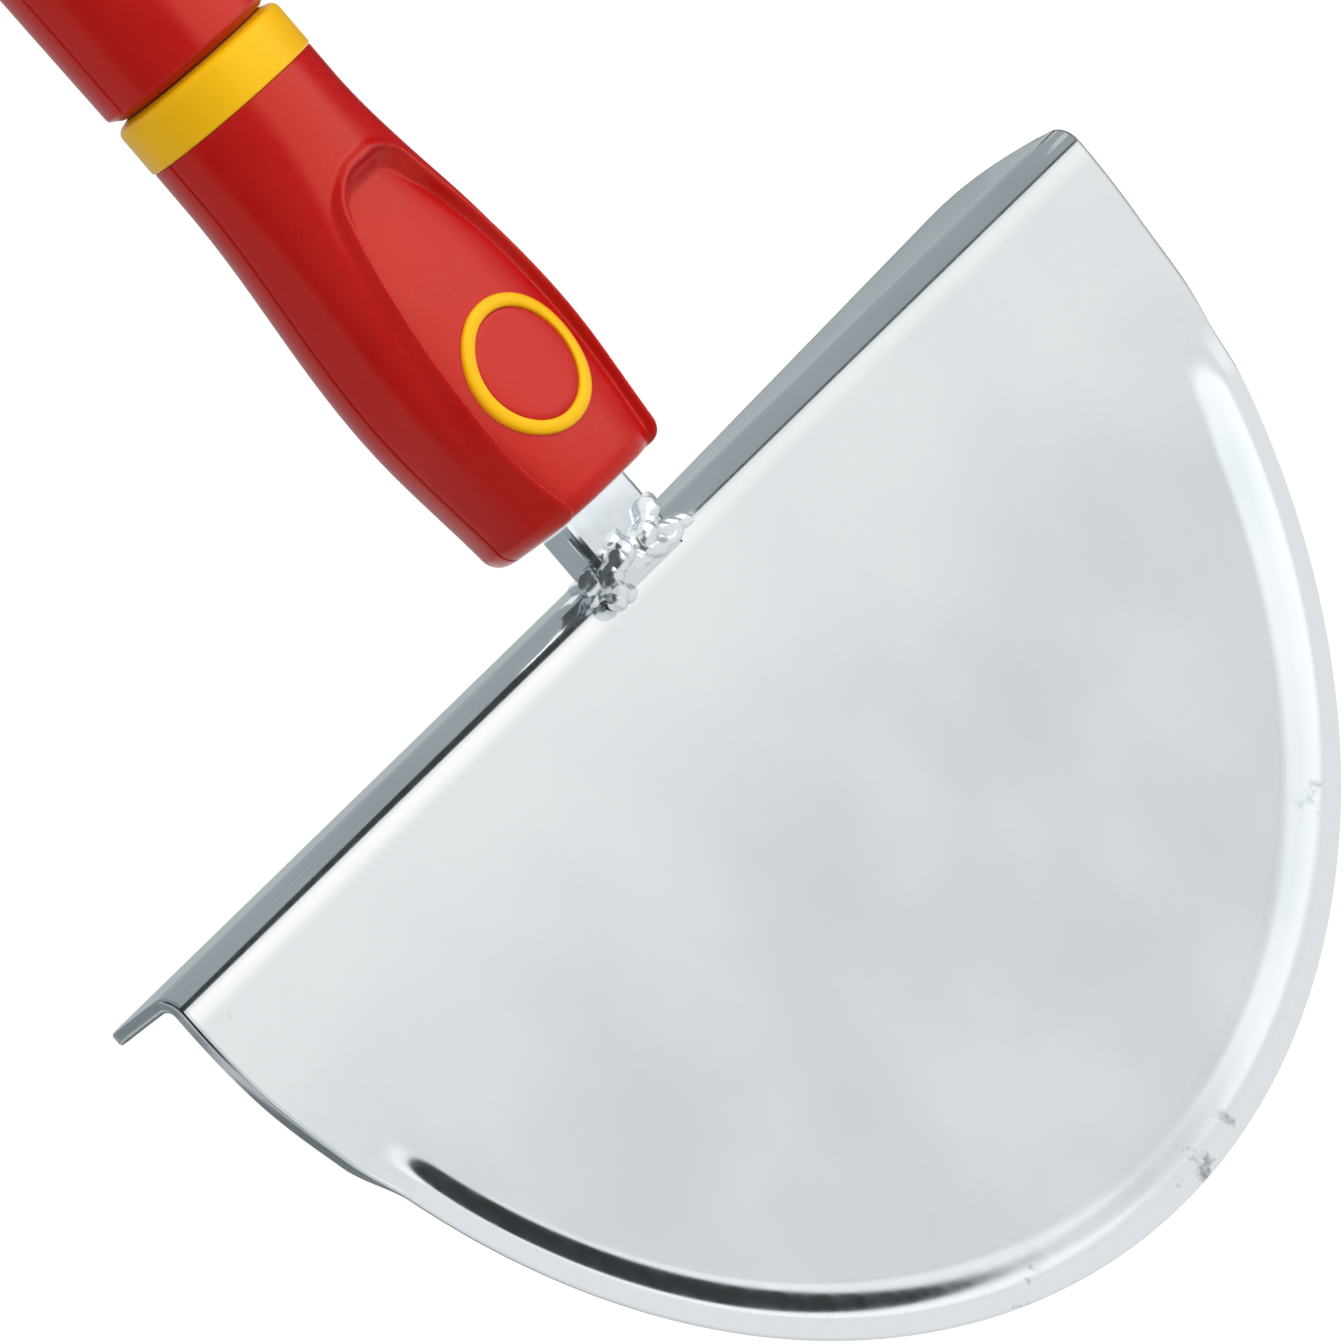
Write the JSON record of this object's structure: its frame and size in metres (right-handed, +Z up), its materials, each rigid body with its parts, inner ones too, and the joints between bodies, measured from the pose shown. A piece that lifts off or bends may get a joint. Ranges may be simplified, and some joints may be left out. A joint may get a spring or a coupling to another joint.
{
  "type": "half moon edger",
  "caption": "Half moon lawn edger head: stepped steel blade with a foot tread, welded tang, two-shell grip and a sprung release sleeve that locks a plug-in handle",
  "frame": {"origin": "centre of the handle socket's mouth, where the bore's straight wall begins", "axes": "+Z up along the handle and out of the socket, -Y to the front of the blade, +X to the right seen from the front"},
  "size_m": [0.225, 0.0306, 0.2455],
  "materials": {
    "plated_sheet": "bright zinc plated pressed sheet",
    "plated_bar": "bright zinc plated flat bar",
    "plated_weld": "rough weld metal, plated over",
    "steel_tube": "drawn steel tube",
    "steel_fastener": "zinc plated fastener",
    "red_moulding": "satin moulded plastic",
    "red_inlay": "satin moulded plastic",
    "yellow_moulding": "satin moulded plastic",
    "red_rubber": "matt deep red rubber",
    "spring_steel": "bright spring steel",
    "bearing_steel": "polished ball"
  },
  "bodies": {
    "head": {"blade": "plated_sheet", "tang": "plated_bar", "front_weld": "plated_weld", "rear_weld": "plated_weld", "socket_tube": "steel_tube", "tang_rivet": "steel_fastener", "grip_front_shell": "red_moulding", "grip_rear_shell": "red_moulding", "upper_screw": "steel_fastener", "lower_screw": "steel_fastener", "badge_ring": "yellow_moulding", "badge_disc": "red_inlay", "collar_ring": "yellow_moulding", "buffer_ring": "red_rubber", "sleeve_spring": "spring_steel", "spring_washer": "steel_fastener", "retaining_ring": "spring_steel"},
    "sleeve": {"release_sleeve": "red_moulding"},
    "ball_1": {"lock_ball_1": "bearing_steel"},
    "ball_2": {"lock_ball_2": "bearing_steel"},
    "ball_3": {"lock_ball_3": "bearing_steel"}
  },
  "joints": [
    {"name": "sleeve_slide", "type": "slide", "parent": "head", "child": "sleeve", "axis": [0, 0, 1], "range_m": [0, 0.006], "stiffness_N_per_m": 1200, "springref_m": -0.005, "deforming": ["sleeve_spring"]},
    {"name": "ball_1_slide", "type": "slide", "parent": "head", "child": "ball_1", "axis": [0, 1, 0], "range_m": [0, 0.0009]},
    {"name": "ball_2_slide", "type": "slide", "parent": "head", "child": "ball_2", "axis": [-0.866, -0.5, 0], "range_m": [0, 0.0009]},
    {"name": "ball_3_slide", "type": "slide", "parent": "head", "child": "ball_3", "axis": [0.866, -0.5, 0], "range_m": [0, 0.0009]}
  ],
  "couplings": [
    {"joint": "ball_1_slide", "follows": "sleeve_slide", "ratio": 0.15},
    {"joint": "ball_2_slide", "follows": "sleeve_slide", "ratio": 0.15},
    {"joint": "ball_3_slide", "follows": "sleeve_slide", "ratio": 0.15}
  ]
}
